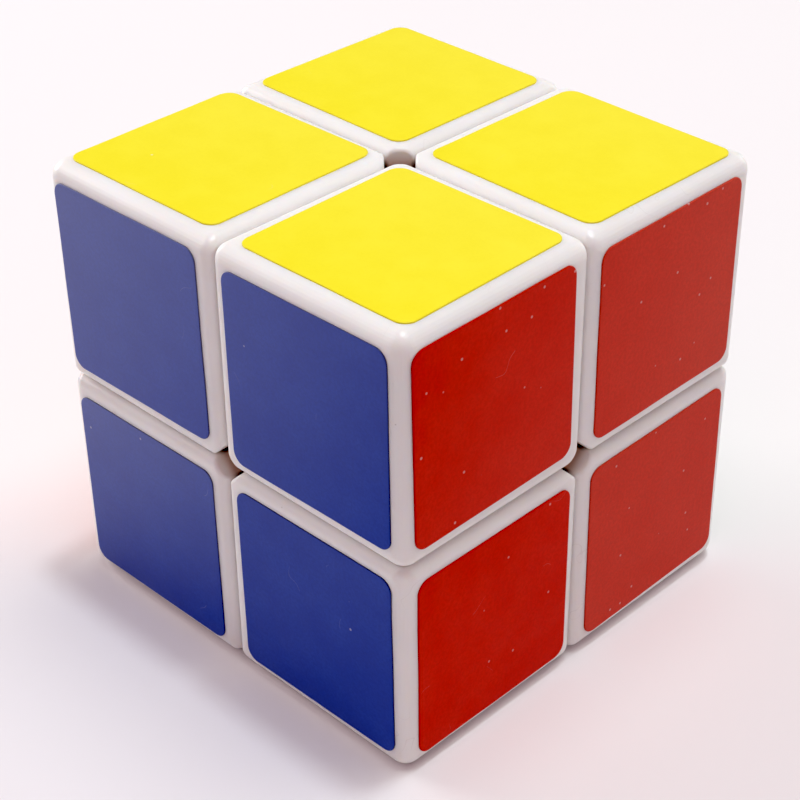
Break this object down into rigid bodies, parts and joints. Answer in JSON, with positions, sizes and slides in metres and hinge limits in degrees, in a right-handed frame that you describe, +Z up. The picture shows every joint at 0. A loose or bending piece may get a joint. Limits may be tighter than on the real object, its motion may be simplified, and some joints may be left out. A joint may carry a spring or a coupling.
{
  "type": "twisty puzzle cube",
  "caption": "Twisty puzzle cube of rounded white plastic cubies with coloured stickers; its layers turn about a hidden spherical core.",
  "frame": {"origin": "centre of the cube, where the three turning axes cross", "axes": "+Z up out of the yellow face, -Y out of the blue front face, +X out of the red right face"},
  "size_m": [0.05, 0.05, 0.05],
  "materials": {
    "white_plastic": "satin moulded ABS",
    "inner_plastic": "matte moulded ABS",
    "steel": "bright zinc",
    "yellow_vinyl": "satin vinyl sticker",
    "black_vinyl": "satin vinyl sticker",
    "blue_vinyl": "satin vinyl sticker",
    "green_vinyl": "satin vinyl sticker",
    "red_vinyl": "satin vinyl sticker",
    "orange_vinyl": "satin vinyl sticker"
  },
  "bodies": {
    "fixed_corner": {"core": "inner_plastic", "screw_u": "steel", "screw_f": "steel", "screw_r": "steel", "screw_dbl": "steel", "spring_u": "steel", "spring_f": "steel", "spring_r": "steel", "corner_dbl_body": "white_plastic", "corner_dbl_cap": "white_plastic", "sticker_d_dbl": "black_vinyl", "sticker_b_dbl": "green_vinyl", "sticker_l_dbl": "orange_vinyl"},
    "top_layer": {"centre_u": "inner_plastic", "edge_ul": "inner_plastic", "edge_ub": "inner_plastic", "corner_ubl_body": "white_plastic", "corner_ubl_cap": "white_plastic", "sticker_u_ubl": "yellow_vinyl", "sticker_b_ubl": "green_vinyl", "sticker_l_ubl": "orange_vinyl"},
    "front_layer": {"centre_f": "inner_plastic", "edge_fl": "inner_plastic", "edge_df": "inner_plastic", "corner_dfl_body": "white_plastic", "corner_dfl_cap": "white_plastic", "sticker_d_dfl": "black_vinyl", "sticker_f_dfl": "blue_vinyl", "sticker_l_dfl": "orange_vinyl"},
    "right_layer": {"centre_r": "inner_plastic", "edge_dr": "inner_plastic", "edge_br": "inner_plastic", "corner_dbr_body": "white_plastic", "corner_dbr_cap": "white_plastic", "sticker_d_dbr": "black_vinyl", "sticker_b_dbr": "green_vinyl", "sticker_r_dbr": "red_vinyl"},
    "top_front_pair": {"edge_uf": "inner_plastic", "corner_ufl_body": "white_plastic", "corner_ufl_cap": "white_plastic", "sticker_u_ufl": "yellow_vinyl", "sticker_f_ufl": "blue_vinyl", "sticker_l_ufl": "orange_vinyl"},
    "top_right_pair": {"edge_ur": "inner_plastic", "corner_ubr_body": "white_plastic", "corner_ubr_cap": "white_plastic", "sticker_u_ubr": "yellow_vinyl", "sticker_b_ubr": "green_vinyl", "sticker_r_ubr": "red_vinyl"},
    "front_right_pair": {"edge_fr": "inner_plastic", "corner_dfr_body": "white_plastic", "corner_dfr_cap": "white_plastic", "sticker_d_dfr": "black_vinyl", "sticker_f_dfr": "blue_vinyl", "sticker_r_dfr": "red_vinyl"},
    "top_front_right_corner": {"corner_ufr_body": "white_plastic", "corner_ufr_cap": "white_plastic", "sticker_u_ufr": "yellow_vinyl", "sticker_f_ufr": "blue_vinyl", "sticker_r_ufr": "red_vinyl"}
  },
  "joints": [
    {"name": "top_turn", "type": "hinge", "parent": "fixed_corner", "child": "top_layer", "pos_m": [0, 0, 0], "axis": [0, 0, 1], "continuous": true},
    {"name": "front_turn", "type": "hinge", "parent": "fixed_corner", "child": "front_layer", "pos_m": [0, 0, 0], "axis": [0, -1, 0], "range_deg": [-360, 360]},
    {"name": "right_turn", "type": "hinge", "parent": "fixed_corner", "child": "right_layer", "pos_m": [0, 0, 0], "axis": [1, 0, 0], "range_deg": [-360, 360]},
    {"name": "front_turn_top_pair", "type": "hinge", "parent": "top_layer", "child": "top_front_pair", "pos_m": [0, 0, 0], "axis": [0, -1, 0], "range_deg": [-360, 360]},
    {"name": "right_turn_top_pair", "type": "hinge", "parent": "top_layer", "child": "top_right_pair", "pos_m": [0, 0, 0], "axis": [1, 0, 0], "range_deg": [-360, 360]},
    {"name": "right_turn_front_pair", "type": "hinge", "parent": "front_layer", "child": "front_right_pair", "pos_m": [0, 0, 0], "axis": [1, 0, 0], "range_deg": [-360, 360]},
    {"name": "right_turn_corner", "type": "hinge", "parent": "top_front_pair", "child": "top_front_right_corner", "pos_m": [0, 0, 0], "axis": [1, 0, 0], "range_deg": [-360, 360]}
  ],
  "couplings": [
    {"joint": "front_turn_top_pair", "follows": "front_turn", "ratio": 1},
    {"joint": "right_turn_top_pair", "follows": "right_turn", "ratio": 1},
    {"joint": "right_turn_front_pair", "follows": "right_turn", "ratio": 1},
    {"joint": "right_turn_corner", "follows": "right_turn", "ratio": 1}
  ]
}
